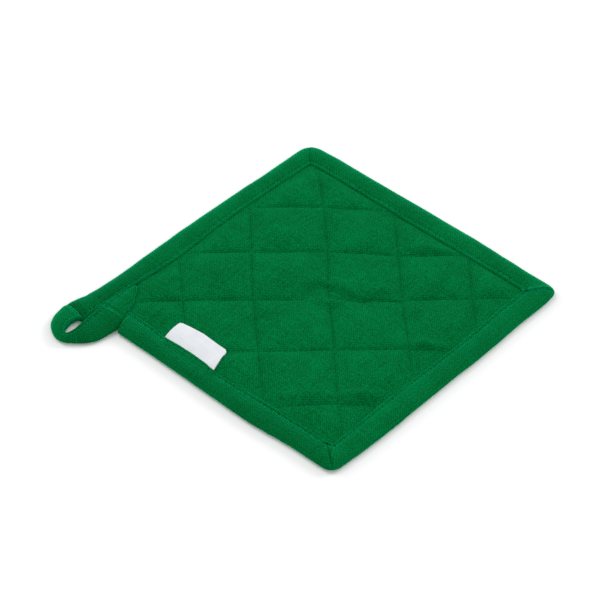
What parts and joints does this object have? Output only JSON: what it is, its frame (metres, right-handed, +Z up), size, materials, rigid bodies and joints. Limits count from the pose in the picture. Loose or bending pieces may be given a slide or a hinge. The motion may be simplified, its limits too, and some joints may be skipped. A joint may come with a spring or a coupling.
{
  "type": "pot holder",
  "caption": "Square quilted cotton pot holder with a bound edge, a hanging loop at one corner and a small folded label.",
  "frame": {"origin": "middle of the square on the underside, in the plane that the pad rests on", "axes": "+Z up out of the upper face, X and Y along the square's sides, hanging loop at the -X -Y corner"},
  "size_m": [0.2044, 0.2294, 0.0098],
  "materials": {
    "pad_cotton": "matte plain weave",
    "tape_cotton": "matte plain weave",
    "label_cloth": "matte fine weave"
  },
  "bodies": {
    "root": {"quilted_pad": "pad_cotton", "binding": "tape_cotton", "hanging_loop": "tape_cotton", "label": "label_cloth"}
  },
  "joints": []
}
